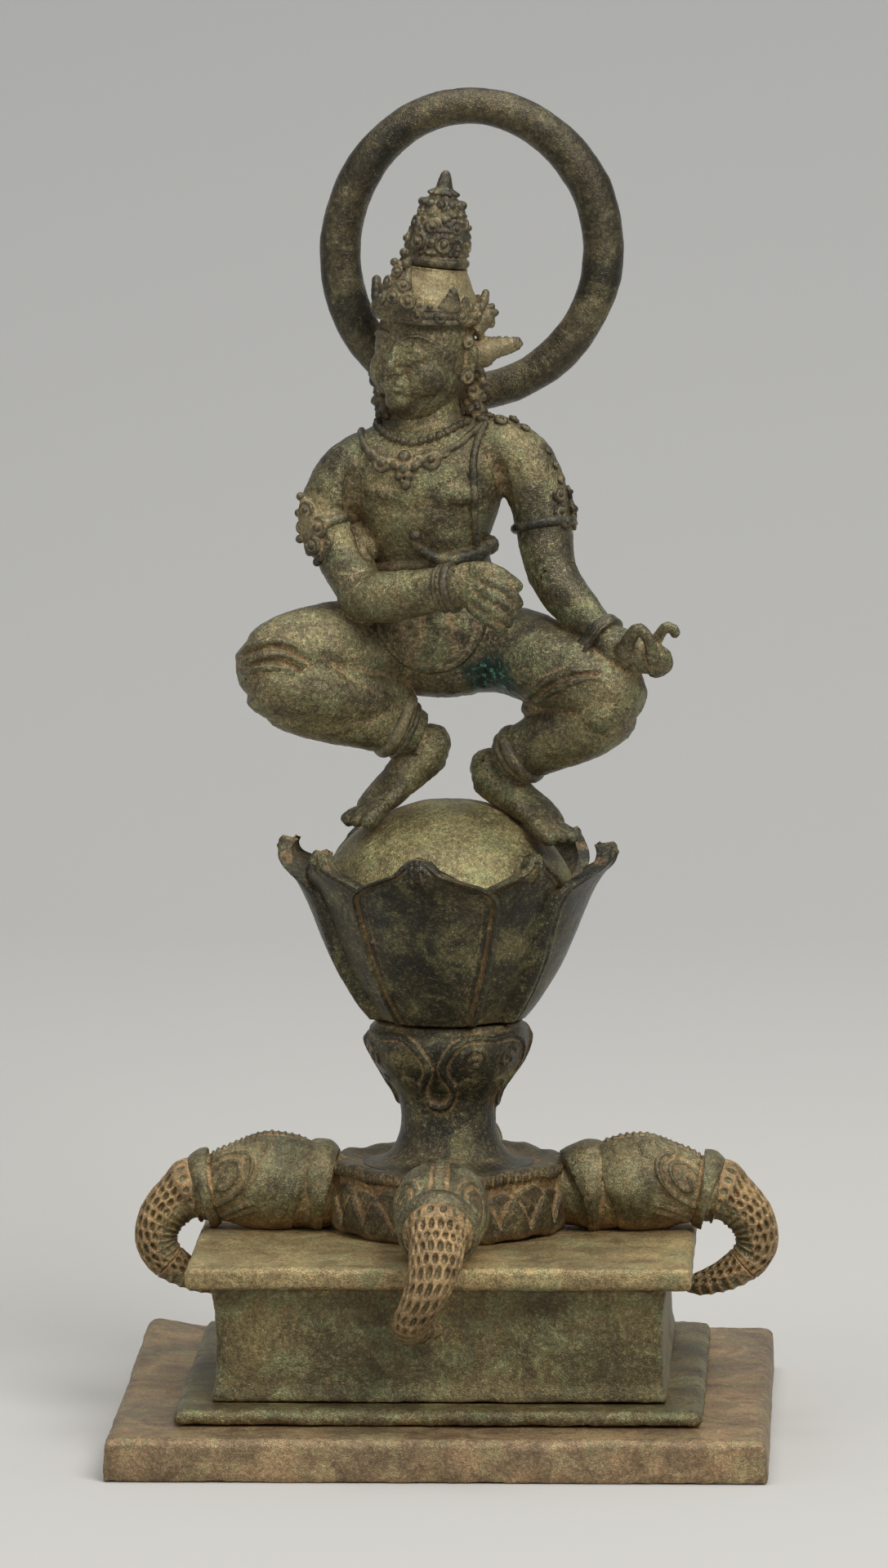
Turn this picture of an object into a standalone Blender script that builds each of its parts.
"""A cast bronze figure that squats on an open lotus, on a square stepped pedestal with four elephant heads.

Run it with: blender --background --python part.py

The frame: +Z is up, the figure faces -Y, and the origin is the middle of the pedestal's underside.
Right and left are the figure's own, so its right hand is on the -X side.
Each piece is modelled apart in wax and joined to the next with a coped joint or a tenon in a socket.
Lengths in the tables of points are in millimetres, as in (x, y, z).
"""

import math

import bmesh
import bpy
from mathutils import Matrix, Vector
from mathutils.bvhtree import BVHTree

MM = 0.001
JOINT_GAP = 0.3
RELIEF = 0.42 * MM
SHARP = math.radians(40)

# Pedestal, from the ground up: the width of each square course, and the height of its top.
FOOT_WIDTH, FOOT_TOP, FOOT_FLARE = 140.0, 9.4, 1.5
STEP_WIDTH, STEP_TOP, STEP_CHAMFER = 112.4, 13.1, 1.2
DADO_WIDTH, DADO_TOP = 96.6, 38.1
CAP_WIDTH, CAP_TOP = 107.3, 43.3
HOLLOW_WIDTH = 88.6

# Column: collar, stem, cup and seed pod are turned about the Z axis.
COLLAR_RADIUS, COLLAR_TOP = 25.2, 59.4
STEM_FOOT, STEM_TOP = 57.7, 89.2
TENON_RADIUS, TENON_LENGTH = 5.0, 5.0
CUP_TOP = 118.4
POD_RADIUS, POD_RISE, POD_BASE = 29.5, 27.4, 110.0
PETALS, PETAL_TURN, PETAL_HALF_ANGLE = 8, -7.0, 21.4
PETAL_WALL = 1.9

# Halo: an upright oval ring behind the head.
HALO_CENTRE = (5.0, 12.8, 255.6)
HALO_HALF_WIDTH, HALO_HALF_HEIGHT, HALO_TUBE = 28.2, 31.3, 4.2

# The head's own frame: it turns towards the figure's right and leans a little to its left.
HEAD_CENTRE = (-4.4, -0.8, 234.6)
HEAD_TURN, HEAD_LEAN = math.radians(-32), math.radians(6.5)

BRONZES = {
    "pedestal_bronze": ((0.19, 0.165, 0.095), 0.55),
    "column_bronze": ((0.125, 0.105, 0.062), 0.45),
    "elephant_bronze": ((0.22, 0.175, 0.10), 0.5),
    "skin_bronze": ((0.20, 0.17, 0.10), 0.48),
    "ornament_bronze": ((0.15, 0.12, 0.075), 0.5),
    "halo_bronze": ((0.14, 0.12, 0.072), 0.42),
}


def bronze(slot):
    """The material of one slot: old bronze under a brown and green patina."""
    if slot in bpy.data.materials:
        return bpy.data.materials[slot]
    colour, roughness = BRONZES[slot]
    made = bpy.data.materials.new(slot)
    made.use_nodes = True
    shader = made.node_tree.nodes["Principled BSDF"]
    shader.inputs["Base Color"].default_value = (*colour, 1)
    shader.inputs["Roughness"].default_value = roughness
    shader.inputs["Metallic"].default_value = 0.75
    return made


def place(name, bm, slot):
    """Turns a bmesh, drawn in millimetres, into a named object in metres."""
    bmesh.ops.remove_doubles(bm, verts=bm.verts[:], dist=1e-4)
    bmesh.ops.recalc_face_normals(bm, faces=bm.faces[:])
    bmesh.ops.scale(bm, vec=(MM, MM, MM), verts=bm.verts[:])
    mesh = bpy.data.meshes.new(name)
    bm.to_mesh(mesh)
    bm.free()
    mesh.shade_smooth()
    mesh.set_sharp_from_angle(angle=SHARP)
    mesh.materials.append(bronze(slot))
    obj = bpy.data.objects.new(name, mesh)
    bpy.context.scene.collection.objects.link(obj)
    return obj


# Joints between pieces


def combine(obj, tool, operation):
    """Joins a helper to obj with UNION, or cuts it out with DIFFERENCE. The helper itself isn't a part."""
    tool.hide_render = True
    tool.display_type = "WIRE"
    modifier = obj.modifiers.new(tool.name, "BOOLEAN")
    modifier.operation = operation
    modifier.object = tool
    modifier.solver = "EXACT"
    return obj


def relieve(obj, *neighbours):
    """Copes obj round each neighbour: cuts out the neighbour's shape, grown by the joint's gap."""
    for neighbour in neighbours:
        grown = bpy.data.objects.new(f"room_for_{neighbour.name}", neighbour.data)
        bpy.context.scene.collection.objects.link(grown)
        push = grown.modifiers.new("grow", "DISPLACE")
        push.strength = RELIEF
        push.mid_level = 0
        combine(obj, grown, "DIFFERENCE")
    return obj


# Shape makers


def circle(bm, frame, half_width, half_depth, sides):
    """An oval outline of points in the XY plane of a frame."""
    matrix = frame @ Matrix.Diagonal((half_width, half_depth, 1, 1))
    return bmesh.ops.create_circle(bm, segments=sides, radius=1, matrix=matrix)["verts"]


def frame_along(point, ahead, across):
    """A frame at a point, with Z along `ahead` and X as near to `across` as it can be."""
    z_axis = ahead.normalized()
    x_axis = (across - across.dot(z_axis) * z_axis).normalized()
    turn = Matrix((x_axis, z_axis.cross(x_axis), z_axis)).transposed()
    return Matrix.Translation(point) @ turn.to_4x4()


def loft(rows, across=(1, 0, 0), sides=12):
    """A closed solid through oval sections. A row is (x, y, z, half width along `across`, half depth)."""
    points = [Vector(row[:3]) for row in rows]
    bm = bmesh.new()
    rings = []
    for i, row in enumerate(rows):
        ahead = points[min(i + 1, len(rows) - 1)] - points[max(i - 1, 0)]
        frame = frame_along(points[i], ahead, Vector(across))
        rings.append(circle(bm, frame, row[3], row[4], sides))
    for ring in (rings[0], rings[-1]):
        bmesh.ops.contextual_create(bm, geom=ring)
    for first, second in zip(rings, rings[1:]):
        bridge_pair(bm, first, second)
    return bm


def bridge_pair(bm, first, second):
    """Joins two outlines with a band of faces. Each may already carry faces on its other side."""
    edges = []
    for ring in (first, second):
        members = set(ring)
        edges += {edge for vert in ring for edge in vert.link_edges if set(edge.verts) <= members}
    bmesh.ops.bridge_loops(bm, edges=edges)


def hoop(points, across, half_width, half_depth, sides=6):
    """A closed band through a loop of points. Its section is `half_width` along `across`."""
    bm = bmesh.new()
    rings = []
    count = len(points)
    for i, point in enumerate(points):
        ahead = points[(i + 1) % count] - points[i - 1]
        rings.append(circle(bm, frame_along(point, ahead, Vector(across)), half_width, half_depth, sides))
    for first, second in zip(rings, rings[1:] + rings[:1]):
        bridge_pair(bm, first, second)
    return bm


def oval(centre, right, up, steps):
    """Points round an oval, from its centre and its two half axes."""
    turns = [math.tau * i / steps for i in range(steps)]
    return [Vector(centre) + math.cos(a) * Vector(right) + math.sin(a) * Vector(up) for a in turns]


def turned(profile, segments=24):
    """A solid turned about Z. The profile runs from the axis, out and back to the axis, as (radius, height)."""
    bm = bmesh.new()
    chain = [bm.verts.new((radius, 0, height)) for radius, height in profile]
    edges = [bm.edges.new(pair) for pair in zip(chain, chain[1:])]
    bmesh.ops.spin(
        bm,
        geom=chain + edges,
        cent=(0, 0, 0),
        axis=(0, 0, 1),
        angle=math.tau,
        steps=segments,
        use_merge=True,
    )
    return bm


def square_block(courses):
    """A solid of square sections, each (half width, height)."""
    bm = bmesh.new()
    rings = []
    for half, height in courses:
        corner = half * math.sqrt(2)
        frame = Matrix.Translation((0, 0, height)) @ Matrix.Rotation(math.pi / 4, 4, "Z")
        rings.append(circle(bm, frame, corner, corner, 4))
    for ring in (rings[0], rings[-1]):
        bmesh.ops.contextual_create(bm, geom=ring)
    for first, second in zip(rings, rings[1:]):
        bridge_pair(bm, first, second)
    return bm


def shell(rows, columns, place_point, wall):
    """A thin closed shell. place_point takes (across -1 to 1, along 0 to 1, height over the inner face)."""
    bm = bmesh.new()
    bmesh.ops.create_grid(bm, x_segments=columns, y_segments=rows, size=1)
    inner = bm.verts[:]
    made = bmesh.ops.extrude_face_region(bm, geom=bm.faces[:], use_keep_orig=True)["geom"]
    outer = [item for item in made if isinstance(item, bmesh.types.BMVert)]
    for verts, lift in ((inner, 0), (outer, wall)):
        for vert in verts:
            vert.co = place_point(vert.co.x, (vert.co.y + 1) / 2, lift)
    return bm


def between(table, t):
    """Reads a table of rows evenly spread over t from 0 to 1."""
    at = min(max(t, 0), 1) * (len(table) - 1)
    low = min(int(at), len(table) - 2)
    return Vector(table[low]).lerp(Vector(table[low + 1]), at - low)


# Pedestal


def pedestal():
    """Four square courses. All but the top one are open inside, so the casting has an even wall."""
    foot = square_block([(FOOT_WIDTH / 2, 0), (FOOT_WIDTH / 2 - FOOT_FLARE, FOOT_TOP)])
    step_top = STEP_WIDTH / 2 - STEP_CHAMFER
    low, high = FOOT_TOP + JOINT_GAP, STEP_TOP - STEP_CHAMFER
    step = square_block([(STEP_WIDTH / 2, low), (STEP_WIDTH / 2, high), (step_top, STEP_TOP)])
    waist, edge = DADO_WIDTH / 2 - 0.5, DADO_WIDTH / 2
    low = STEP_TOP + JOINT_GAP
    dado = square_block([(edge, low), (edge, low + 1.5), (waist, low + 4), (waist, 34), (edge, DADO_TOP)])
    cap = square_block([(CAP_WIDTH / 2, DADO_TOP + JOINT_GAP), (CAP_WIDTH / 2, CAP_TOP)])
    for name, bm in (("foot_slab", foot), ("plinth_step", step), ("dado", dado)):
        hollow = square_block([(HOLLOW_WIDTH / 2, -1), (HOLLOW_WIDTH / 2, DADO_TOP + 1)])
        tool = place(f"hollow_in_{name}", hollow, "pedestal_bronze")
        combine(place(name, bm, "pedestal_bronze"), tool, "DIFFERENCE")
    place("cap_slab", cap, "pedestal_bronze")


# Column


def peg(name, low, high, radius):
    return place(name, turned([(0, low), (radius, low), (radius, high), (0, high)], 12), "column_bronze")


def column():
    """The collar, the waisted stem with a tenon at each end, the cup and the seed pod."""
    rim = COLLAR_RADIUS
    low = CAP_TOP + JOINT_GAP
    profile = [(0, low), (rim - 1.6, low), (rim - 0.4, 46), (rim + 0.5, 51), (rim, 57.6), (rim - 0.8, COLLAR_TOP)]
    profile += [(rim - 2.6, COLLAR_TOP), (15.5, 57.4), (0, 57.4)]
    collar = place("collar", turned(profile), "column_bronze")
    profile = [(0, STEM_FOOT), (14.6, STEM_FOOT), (13.4, 59.6), (11.7, 62.7), (10.4, 66.5), (10.4, 70), (11.4, 73.6)]
    profile += [(14.6, 78.2), (17.1, 82.2), (17.6, 84.6), (17.2, 87), (15.6, STEM_TOP), (0, STEM_TOP)]
    stem = place("stem", turned(profile), "column_bronze")
    low_tenon = peg("low_tenon", STEM_FOOT - TENON_LENGTH, STEM_FOOT + 1, TENON_RADIUS)
    high_tenon = peg("high_tenon", STEM_TOP - 1, STEM_TOP + TENON_LENGTH, TENON_RADIUS)
    combine(stem, low_tenon, "UNION")
    combine(stem, high_tenon, "UNION")
    socket = TENON_RADIUS + JOINT_GAP
    low_socket = peg("low_socket", STEM_FOOT - TENON_LENGTH - JOINT_GAP, STEM_FOOT + 1, socket)
    high_socket = peg("high_socket", STEM_TOP - 1, STEM_TOP + TENON_LENGTH + JOINT_GAP, socket)
    combine(collar, low_socket, "DIFFERENCE")
    profile = [(0, STEM_TOP + JOINT_GAP), (14.0, STEM_TOP + JOINT_GAP), (17.6, 94.5), (21, 101), (24, 108)]
    profile += [(26.4, 113.6), (27.4, CUP_TOP), (0, CUP_TOP)]
    cup = place("cup", turned(profile), "column_bronze")
    combine(cup, high_socket, "DIFFERENCE")
    start = math.asin((CUP_TOP + JOINT_GAP - POD_BASE) / POD_RISE)
    turns = [start + (math.pi / 2 - start) * i / 6 for i in range(7)]
    profile = [(POD_RADIUS * math.cos(a), POD_BASE + POD_RISE * math.sin(a)) for a in turns[:-1]]
    profile = [(0, CUP_TOP + JOINT_GAP)] + profile + [(0, POD_BASE + POD_RISE)]
    place("seed_pod", turned(profile), "column_bronze")


# A petal from its root to its tip, as (radius of the inner face, height, share of the full width).
PETAL_LINE = [
    (14.6, 90.2, 1.0),
    (19.0, 96.0, 1.0),
    (22.5, 101.6, 1.0),
    (25.3, 107.4, 1.0),
    (27.6, 112.8, 1.0),
    (29.6, 117.0, 0.92),
    (31.8, 121.0, 0.68),
    (33.5, 124.3, 0.42),
    (33.3, 127.0, 0.22),
    (31.9, 128.6, 0.06),
]


def petals():
    """Eight broad petals round the cup. Each is a thin shell whose tip flares out and then curls up."""
    for i in range(PETALS):
        turn = math.radians(-90 + PETAL_TURN + 360 / PETALS * i)

        def point(across, along, lift, turn=turn):
            radius, height, share = between(PETAL_LINE, along)
            angle = turn + across * share * math.radians(PETAL_HALF_ANGLE)
            radius += lift
            return Vector((radius * math.cos(angle), radius * math.sin(angle), height))

        place(f"petal_{i + 1}", shell(9, 4, point, PETAL_WALL), "column_bronze")


# Elephant heads. Each row is (distance from the column, height, half width, half height).
ELEPHANT_HEAD = [
    (22.0, 51.2, 6.8, 6.8),
    (27.4, 51.4, 7.2, 7.2),
    (28.6, 51.6, 8.0, 8.0),
    (32.0, 52.2, 9.0, 9.2),
    (37.0, 52.8, 9.9, 10.2),
    (42.0, 53.0, 9.9, 10.2),
    (47.0, 52.2, 8.7, 9.0),
    (50.6, 51.4, 7.2, 7.4),
    (52.2, 51.2, 7.7, 7.7),
    (53.4, 51.2, 7.7, 7.7),
]
ELEPHANT_TRUNK = [
    (53.9, 51.2, 7.0, 7.2),
    (57.0, 51.2, 7.2, 7.2),
    (60.2, 50.2, 5.9, 6.2),
    (63.0, 47.8, 5.5, 5.8),
    (64.6, 44.2, 5.2, 5.2),
    (65.0, 40.4, 4.8, 4.6),
    (64.0, 36.8, 4.4, 4.1),
    (61.8, 33.8, 4.0, 3.6),
    (58.8, 32.0, 3.6, 3.1),
    (55.6, 31.4, 3.1, 2.6),
    (52.8, 32.2, 2.4, 2.0),
    (51.0, 34.0, 1.4, 1.2),
]


def elephants():
    """Four heads lie on the cap slab, one to each side, and their trunks hook over its edge."""
    collar = bpy.data.objects["collar"]
    for side, turn in (("front", -90), ("left", 0), ("back", 90), ("right", 180)):
        for part, rows in (("head", ELEPHANT_HEAD), ("trunk", ELEPHANT_TRUNK)):
            path = [(out, 0, height, half_height, half_width) for out, height, half_width, half_height in rows]
            bm = loft(path, across=(0, 0, 1) if part == "head" else (1, 0, 1), sides=10)
            floor = (0, 0, CAP_TOP + JOINT_GAP)
            if part == "head":
                geom = bm.verts[:] + bm.edges[:] + bm.faces[:]
                bmesh.ops.bisect_plane(bm, geom=geom, plane_co=floor, plane_no=(0, 0, -1), clear_outer=True)
                bmesh.ops.holes_fill(bm, edges=bm.edges[:])
            bmesh.ops.rotate(bm, verts=bm.verts[:], matrix=Matrix.Rotation(math.radians(turn), 3, "Z"))
            obj = place(f"elephant_{part}_{side}", bm, "elephant_bronze")
            if part == "head":
                relieve(obj, collar)


# Figure: every row is (x, y, z, half width, half depth) of one oval section.
HIPS = [
    (-0.5, 5.5, 160.2, 8.0, 6.5),
    (-0.6, 5.4, 163.0, 13.5, 10.0),
    (-0.8, 5.2, 168.0, 17.0, 12.0),
    (-1.2, 5.0, 174.0, 18.0, 12.6),
    (-2.0, 4.8, 179.0, 15.8, 11.4),
    (-2.8, 4.6, 182.6, 13.6, 10.2),
]
TORSO = [
    (-2.9, 4.6, 183.0, 13.5, 10.1),
    (-3.6, 4.0, 187.5, 13.1, 9.8),
    (-4.2, 3.0, 193.0, 13.0, 9.6),
    (-4.2, 2.0, 199.0, 15.2, 10.6),
    (-4.3, 1.2, 205.0, 17.0, 11.3),
    (-4.3, 1.0, 210.0, 17.6, 11.0),
    (-4.2, 1.2, 214.5, 15.6, 9.6),
    (-4.2, 1.4, 217.6, 11.2, 8.2),
    (-4.2, 1.4, 219.6, 8.0, 7.0),
]
NECK = [(-4.3, 1.4, 219.9, 7.7, 6.8), (-4.4, 0.9, 223.0, 7.3, 6.4), (-4.4, 0.2, 229.5, 6.8, 6.2)]
THIGHS = {
    "right": [
        (-8.0, 6.0, 171.4, 8.8, 10.0),
        (-16.0, 2.0, 171.2, 9.4, 10.6),
        (-24.0, -4.0, 170.6, 9.8, 10.4),
        (-31.0, -8.5, 170.0, 9.7, 9.8),
        (-36.0, -11.0, 169.3, 8.9, 9.0),
        (-40.4, -12.8, 168.4, 6.7, 6.8),
        (-43.4, -14.0, 168.0, 3.2, 3.2),
    ],
    "left": [
        (6.0, 6.0, 170.6, 8.6, 10.0),
        (14.0, 2.0, 169.8, 9.0, 10.2),
        (22.0, -4.0, 167.6, 8.9, 9.8),
        (29.0, -8.5, 165.2, 8.7, 9.4),
        (34.5, -11.0, 163.2, 8.3, 8.6),
        (38.8, -12.8, 162.0, 6.3, 6.4),
        (41.8, -14.0, 161.4, 3.0, 3.0),
    ],
}
SHINS = {
    "right": [
        (-37.6, -12.4, 164.2, 5.6, 5.8),
        (-31.5, -9.8, 161.4, 7.2, 7.4),
        (-23.5, -6.6, 158.2, 7.3, 7.6),
        (-16.0, -4.0, 155.2, 6.8, 7.0),
        (-10.4, -2.0, 152.9, 6.1, 6.2),
        (-7.6, -1.2, 151.6, 5.7, 5.8),
    ],
    "left": [
        (36.0, -12.4, 158.6, 5.2, 5.4),
        (30.5, -9.8, 156.0, 6.7, 6.9),
        (25.0, -6.6, 152.8, 6.7, 7.0),
        (20.0, -4.0, 149.8, 6.2, 6.5),
        (15.9, -2.0, 147.4, 5.7, 5.9),
        (13.4, -1.2, 146.0, 5.4, 5.6),
    ],
}
FEET = {
    "right": [
        (-2.0, 1.6, 149.6, 3.2, 3.4),
        (-4.0, 0.9, 147.6, 4.6, 4.6),
        (-7.2, -0.2, 144.2, 4.5, 5.0),
        (-11.0, -1.6, 140.6, 3.7, 5.6),
        (-14.8, -3.2, 137.4, 2.9, 6.2),
        (-18.0, -4.6, 134.9, 2.2, 6.0),
        (-20.3, -5.6, 133.4, 1.3, 4.4),
    ],
    "left": [
        (7.2, 1.6, 144.6, 3.2, 3.4),
        (9.0, 0.9, 142.8, 4.5, 4.6),
        (12.4, -0.2, 139.8, 4.4, 5.0),
        (16.4, -1.6, 136.6, 3.7, 5.6),
        (20.6, -3.2, 133.9, 2.9, 6.2),
        (24.6, -4.6, 131.2, 2.2, 6.0),
        (27.4, -5.6, 129.5, 1.3, 4.4),
    ],
}
UPPER_ARMS = {
    "right": [
        (-17.0, 1.2, 212.0, 5.6, 6.0),
        (-22.0, 0.9, 210.2, 6.7, 7.0),
        (-25.2, 0.2, 206.0, 6.6, 7.0),
        (-26.2, -1.0, 200.0, 6.0, 6.4),
        (-24.6, -3.2, 192.6, 5.5, 5.8),
        (-22.4, -5.6, 186.8, 5.3, 5.6),
        (-20.6, -7.6, 183.0, 4.6, 4.8),
    ],
    "left": [
        (11.0, 1.2, 213.6, 5.4, 6.0),
        (16.0, 0.9, 213.0, 6.4, 7.0),
        (19.6, 0.2, 209.0, 6.5, 7.0),
        (21.3, -0.8, 203.0, 6.4, 6.6),
        (21.8, -1.8, 196.4, 6.0, 6.1),
        (22.0, -2.8, 190.4, 5.5, 5.6),
        (22.6, -3.6, 187.4, 5.2, 5.2),
    ],
}
FOREARMS = {
    "right": [
        (-20.8, -7.4, 181.6, 4.4, 4.6),
        (-18.0, -10.2, 182.2, 5.3, 5.2),
        (-13.6, -13.2, 182.9, 5.6, 5.4),
        (-8.0, -16.4, 183.8, 5.4, 5.3),
        (-2.4, -19.4, 184.8, 4.9, 4.8),
        (1.2, -21.2, 185.3, 4.6, 4.3),
    ],
    "left": [
        (22.4, -3.8, 187.2, 4.9, 4.9),
        (24.6, -5.0, 184.2, 5.1, 5.1),
        (28.0, -6.8, 180.4, 4.6, 4.7),
        (31.4, -8.6, 176.8, 4.0, 4.1),
        (33.4, -9.8, 174.7, 3.8, 3.8),
    ],
}
PALMS = {
    "right": [
        (1.9, -21.6, 185.4, 4.4, 3.4),
        (4.6, -22.8, 185.6, 4.9, 3.1),
        (8.2, -23.8, 185.0, 5.3, 2.8),
        (10.4, -24.2, 184.0, 4.8, 2.3),
    ],
    "left": [
        (33.9, -10.2, 174.1, 3.5, 3.6),
        (36.6, -11.6, 172.4, 3.6, 4.4),
        (40.4, -13.2, 170.6, 3.2, 4.9),
        (43.4, -14.2, 170.0, 2.7, 4.6),
    ],
}
# Fingers and thumb of each hand. A row is (x, y, z, radius).
FINGERS = {
    "right": [
        [(8.6, -24.4, 187.6, 1.5), (12.0, -25.2, 185.8, 1.4), (14.6, -24.6, 183.4, 1.3), (15.9, -23.8, 181.6, 0.9)],
        [(8.8, -24.4, 185.4, 1.5), (11.8, -25.4, 183.2, 1.4), (14.2, -25.0, 180.8, 1.3), (15.4, -24.2, 179.2, 0.9)],
        [(8.2, -24.4, 183.2, 1.5), (10.8, -25.2, 181.0, 1.4), (13.0, -24.8, 178.8, 1.3), (14.0, -24.0, 177.4, 0.9)],
        [(7.2, -24.0, 181.4, 1.4), (9.2, -24.6, 179.4, 1.3), (11.0, -24.2, 177.8, 1.2), (12.0, -23.4, 176.8, 0.8)],
        [(6.4, -23.6, 188.6, 1.8), (10.4, -22.4, 189.2, 1.6), (14.0, -21.6, 187.4, 1.4), (16.2, -21.4, 185.9, 1.0)],
    ],
    "left": [
        [(41.6, -17.0, 171.2, 1.4), (45.2, -18.2, 172.8, 1.3), (47.2, -18.0, 175.4, 1.1), (49.6, -17.6, 176.4, 0.8)],
        [(42.0, -15.4, 169.8, 1.5), (46.0, -16.4, 169.6, 1.4), (48.0, -16.0, 171.4, 1.2), (47.0, -15.4, 173.2, 0.9)],
        [(42.0, -13.0, 169.2, 1.5), (46.0, -13.6, 168.8, 1.4), (48.2, -13.4, 170.4, 1.2), (47.2, -13.0, 172.2, 0.9)],
        [(42.0, -10.8, 169.0, 1.4), (45.6, -11.0, 168.4, 1.3), (47.8, -11.0, 169.8, 1.1), (47.0, -10.8, 171.4, 0.8)],
        [(37.4, -15.0, 172.4, 1.9), (39.6, -18.2, 172.8, 1.7), (41.2, -19.4, 174.8, 1.4), (41.8, -19.0, 176.6, 0.9)],
    ],
}
HAIR = [
    (-3.4, 7.4, 217.6, 5.0, 3.0),
    (-3.2, 8.2, 220.0, 7.6, 4.6),
    (-3.0, 8.4, 223.6, 9.0, 5.6),
    (-3.0, 8.0, 227.4, 8.4, 5.2),
    (-3.2, 7.6, 230.4, 5.4, 3.2),
]


def legs():
    """Thigh, shin and foot of each leg. The thighs meet the hips, and each shin folds under its thigh."""
    hips, torso = bpy.data.objects["hips"], bpy.data.objects["torso"]
    pod = bpy.data.objects["seed_pod"]
    for side in ("right", "left"):
        thigh = place(f"thigh_{side}", loft(THIGHS[side], across=(0, 0, 1)), "skin_bronze")
        relieve(thigh, hips, torso)
        shin = place(f"shin_{side}", loft(SHINS[side], across=(0, 0, 1)), "skin_bronze")
        relieve(shin, thigh, hips)
        foot = place(f"foot_{side}", loft(FEET[side], across=(0, 0, 1)), "skin_bronze")
        relieve(foot, shin, pod)


def hand(side):
    """A palm with four fingers and a thumb."""
    palm = place(f"hand_{side}", loft(PALMS[side], across=(0, 0, 1), sides=10), "skin_bronze")
    for i, rows in enumerate(FINGERS[side]):
        path = [(x, y, z, radius, radius) for x, y, z, radius in rows]
        combine(palm, place(f"finger_{i}_{side}", loft(path, across=(0, 0, 1), sides=6), "skin_bronze"), "UNION")
    return palm


def arms():
    """Upper arm, forearm and hand of each arm. The right hand hangs before the belly, the left lies on the knee."""
    torso = bpy.data.objects["torso"]
    for side in ("right", "left"):
        upper = place(f"upper_arm_{side}", loft(UPPER_ARMS[side], across=(1, 0, 1)), "skin_bronze")
        thigh = bpy.data.objects[f"thigh_{side}"]
        relieve(upper, torso, thigh)
        fore = place(f"forearm_{side}", loft(FOREARMS[side], across=(0, 0, 1)), "skin_bronze")
        relieve(fore, upper, torso, thigh)
        relieve(hand(side), fore, thigh)


def in_head_frame(bm):
    turn = Matrix.Rotation(HEAD_LEAN, 4, "Y") @ Matrix.Rotation(HEAD_TURN, 4, "Z")
    bmesh.ops.transform(bm, matrix=Matrix.Translation(HEAD_CENTRE) @ turn, verts=bm.verts[:])
    return bm


# The head and what it wears, in the head's own frame: the face is towards -Y, and z = 0 is at the eyes.
SKULL = [
    (0, -5.4, -12.0, 2.6, 2.4),
    (0, -3.8, -10.6, 5.0, 5.0),
    (0, -1.6, -7.6, 7.2, 8.0),
    (0, -0.4, -3.6, 8.6, 9.6),
    (0, 0.2, 0.6, 9.2, 10.2),
    (0, 0.4, 4.6, 9.3, 10.2),
    (0, 0.6, 8.6, 8.8, 9.6),
    (0, 0.8, 11.8, 7.0, 7.6),
    (0, 1.0, 13.6, 3.6, 4.0),
]
NOSE = [(0, -10.0, 1.6, 0.8, 1.0), (0, -10.7, -1.4, 1.1, 1.4), (0, -11.0, -3.6, 1.9, 2.0), (0, -10.0, -4.8, 1.2, 1.2)]
CAP = [
    (0, 0.6, 7.2, 10.0, 10.8),
    (0, 0.7, 9.4, 10.4, 11.2),
    (0, 0.8, 13.0, 10.3, 11.0),
    (0, 1.0, 16.4, 9.4, 9.8),
    (0, 1.0, 18.6, 8.6, 8.8),
]
CROWN = [
    (0, 1.0, 18.9, 8.8, 8.8),
    (0, 1.0, 20.6, 8.6, 8.6),
    (0, 1.0, 21.2, 7.6, 7.6),
    (0, 1.0, 26.0, 6.6, 6.6),
    (0, 1.0, 31.4, 5.0, 5.0),
    (0, 1.0, 32.0, 5.4, 5.4),
    (0, 1.0, 33.4, 5.0, 5.0),
    (0, 1.0, 35.4, 3.2, 3.2),
    (0, 1.0, 36.2, 1.9, 1.9),
    (0, 1.0, 38.2, 1.3, 1.3),
    (0, 1.0, 39.2, 0.7, 0.7),
]
FRONT_LEAF = [
    (0, -11.6, 9.0, 4.0, 1.2),
    (0, -11.8, 13.0, 3.2, 1.4),
    (0, -11.2, 18.0, 1.8, 1.2),
    (0, -10.2, 22.6, 0.5, 0.5),
]
EAR_LEAF = [
    (10.0, 0.6, 2.0, 1.8, 1.8),
    (11.0, 1.6, 6.0, 2.8, 2.2),
    (11.8, 2.6, 10.4, 2.0, 1.7),
    (12.4, 3.2, 14.0, 0.5, 0.5),
]


def mirrored(rows):
    return [(-row[0], *row[1:]) for row in rows]


def head():
    """The neck, the head, its hair and the tall crown with a diadem round the brow."""
    torso = bpy.data.objects["torso"]
    skull = place("head", in_head_frame(loft(SKULL, sides=14)), "skin_bronze")
    combine(skull, place("nose", in_head_frame(loft(NOSE, sides=6)), "skin_bronze"), "UNION")
    neck = relieve(place("neck", loft(NECK), "skin_bronze"), skull, torso)
    cap = relieve(place("crown_cap", in_head_frame(loft(CAP, sides=14)), "ornament_bronze"), skull)
    place("crown_cone", in_head_frame(loft(CROWN)), "ornament_bronze")
    band = in_head_frame(hoop(oval((0, 0.5, 7.6), (10.6, 0, 0), (0, 11.4, 0), 18), (0, 0, 1), 1.7, 1.3))
    diadem = place("diadem", band, "ornament_bronze")
    leaf = place("front_leaf", in_head_frame(loft(FRONT_LEAF, sides=6)), "ornament_bronze")
    relieve(combine(diadem, leaf, "UNION"), cap, skull)
    for side, rows in (("right", mirrored(EAR_LEAF)), ("left", EAR_LEAF)):
        ear = place(f"ear_ornament_{side}", in_head_frame(loft(rows, sides=6)), "ornament_bronze")
        relieve(ear, cap, skull, diadem)
    halo = bpy.data.objects["halo_ring"]
    hair = place("nape_hair", loft(HAIR, sides=10), "ornament_bronze")
    relieve(hair, halo, torso, neck, skull)


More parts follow.
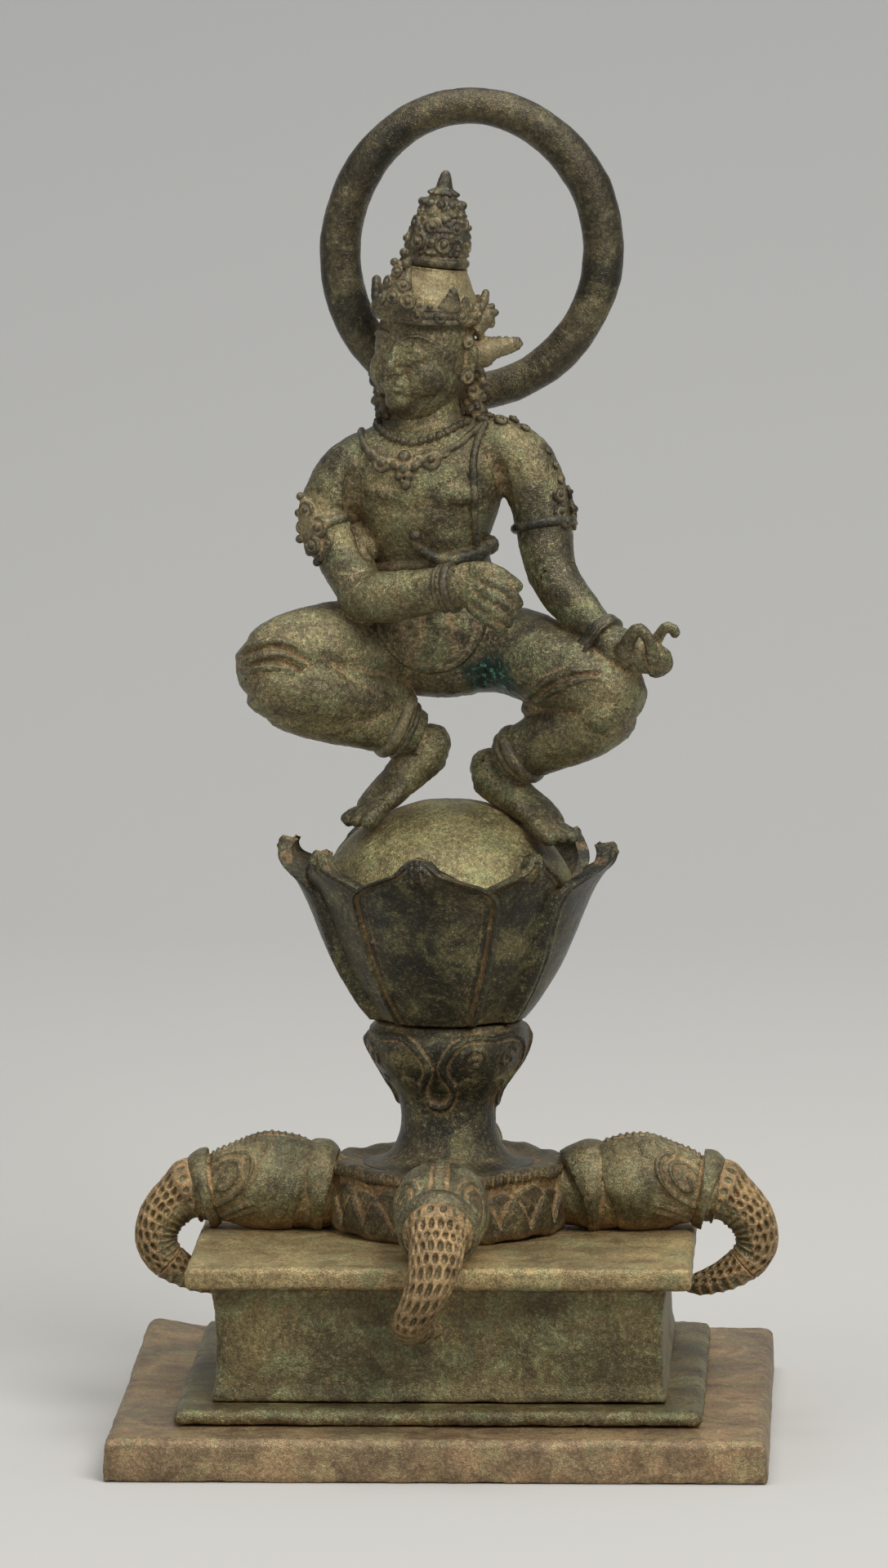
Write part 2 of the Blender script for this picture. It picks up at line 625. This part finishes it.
def halo():
    half = (HALO_HALF_WIDTH, 0, 0), (0, 0, HALO_HALF_HEIGHT)
    ring = hoop(oval(HALO_CENTRE, *half, 36), (0, 1, 0), HALO_TUBE, HALO_TUBE, sides=10)
    place("halo_ring", ring, "halo_bronze")


# Jewellery and cloth


def wrapped(kind, start, end, half_width, half_depth):
    """A band round a limb, square to the line between two points of it."""
    low, high = Vector(start), Vector(end)
    frame = frame_along(low.lerp(high, 0.5), high - low, Vector((0, 0, 1)))
    right, up = frame.col[0].to_3d() * half_width, frame.col[1].to_3d() * half_depth
    return hoop(oval(frame.translation, right, up, 14), high - low, *BAND_SECTION[kind])


# Section of each kind of band: half its length along the limb, and half its thickness.
BAND_SECTION = {"armlet": (2.2, 1.4), "bracelet": (1.0, 0.9), "ankle_cuff": (1.9, 1.1)}
# Each band as two points of the limb's line, and the half sizes of the loop round it.
BANDS = {
    "armlet_right": [(-26.2, -1.6, 196.4), (-25.8, -2.2, 194.0), 6.4, 6.7],
    "armlet_left": [(21.7, -1.5, 199.0), (21.9, -1.9, 196.4), 6.8, 6.9],
    "bracelet_right": [(-0.6, -20.3, 185.1), (0.6, -20.9, 185.25), 5.0, 4.8],
    "bracelet_left": [(32.0, -8.95, 176.2), (32.8, -9.4, 175.4), 4.3, 4.3],
    "ankle_cuff_right": [(-11.6, -2.4, 153.4), (-9.6, -1.9, 152.5), 6.5, 6.7],
    "ankle_cuff_left": [(17.0, -2.5, 148.0), (15.2, -1.8, 147.0), 6.1, 6.3],
}
WORN_ON = {"armlet": "upper_arm", "bracelet": "forearm", "ankle_cuff": "shin"}


def bands():
    """Armlets, bracelets and ankle cuffs. Each goes all round its limb."""
    for name, sizes in BANDS.items():
        kind, side = name.rsplit("_", 1)
        band = place(name, wrapped(kind, *sizes), "ornament_bronze")
        relieve(band, bpy.data.objects[f"{WORN_ON[kind]}_{side}"])
        if name == "bracelet_left":
            relieve(band, bpy.data.objects["thigh_left"])
        if name == "armlet_right":
            relieve(band, bpy.data.objects["torso"])
        if kind == "bracelet":
            relieve(bpy.data.objects[f"hand_{side}"], band)


def skin_tree(*names):
    """The outer surface of some pieces, to lay jewellery on."""
    bm = bmesh.new()
    for name in names:
        bm.from_mesh(bpy.data.objects[name].data)
    tree = BVHTree.FromBMesh(bm)
    bm.free()
    return tree


def lay(tree, spots, lift):
    """Points on the front of a body, `lift` in front of it, above each (x, z)."""
    laid = []
    for x, z in spots:
        hit = tree.ray_cast(Vector((x, -100, z)) * MM, Vector((0, 1, 0)))[0]
        laid.append(hit / MM + Vector((0, -lift, 0)))
    return laid


NECKLACE = [(-12.6, 216.6), (-11.4, 212.8), (-9.6, 209.8), (-7.2, 208.0), (-4.4, 208.2), (-1.6, 210.0)]
NECKLACE += [(1.8, 212.8), (4.2, 216.0)]
CORD = [(8.0, 214.6), (7.2, 210.6), (6.6, 206.4), (6.4, 201.8), (6.4, 197.4), (6.8, 193.6)]


APRON_TOP, APRON_DROP, APRON_MIDDLE, APRON_HALF_WIDTH = 181.0, 16.0, -1.5, 11.0


def jewellery():
    """The necklace, the cord over the left shoulder, the rolled sash and the round apron below it."""
    torso, hips = bpy.data.objects["torso"], bpy.data.objects["hips"]
    tree = skin_tree("torso", "hips")
    path = [(*point, 0.9, 0.9) for point in lay(tree, NECKLACE, 0.2)]
    path[3] = (*path[3][:3], 2.2, 1.2)
    necklace = place("necklace", loft(path, across=(0, 0, 1), sides=6), "ornament_bronze")
    path = [(*point, 0.8, 0.8) for point in lay(tree, CORD, 0.2)]
    cord = place("sacred_cord", loft(path, across=(1, 0, 0), sides=6), "ornament_bronze")
    relieve(torso, necklace, cord)
    loop = oval((-4.1, 3.2, 191.9), (14.1, 0, 0), (0, 10.6, 0), 20)
    sash = place("waist_sash", hoop(loop, (0, 0, 1), 1.9, 1.7), "ornament_bronze")
    relieve(torso, sash)
    relieve(cord, sash)
    relieve(sash, bpy.data.objects["forearm_right"], bpy.data.objects["upper_arm_right"])

    def apron_point(across, along, lift):
        height = APRON_TOP - APRON_DROP * along
        half = APRON_HALF_WIDTH * math.sqrt(max(1 - along**2.6, 0.02))
        return lay(tree, [(APRON_MIDDLE + across * half, height)], 0.3 + lift)[0]

    apron = place("apron", shell(6, 6, apron_point, 1.4), "ornament_bronze")
    relieve(apron, hips, bpy.data.objects["thigh_right"], bpy.data.objects["thigh_left"])


def main():
    for obj in list(bpy.data.objects):
        bpy.data.objects.remove(obj)
    pedestal()
    column()
    petals()
    elephants()
    hips = place("hips", loft(HIPS, sides=16), "skin_bronze")
    relieve(place("torso", loft(TORSO, sides=16), "skin_bronze"), hips)
    legs()
    arms()
    halo()
    head()
    bands()
    jewellery()


main()
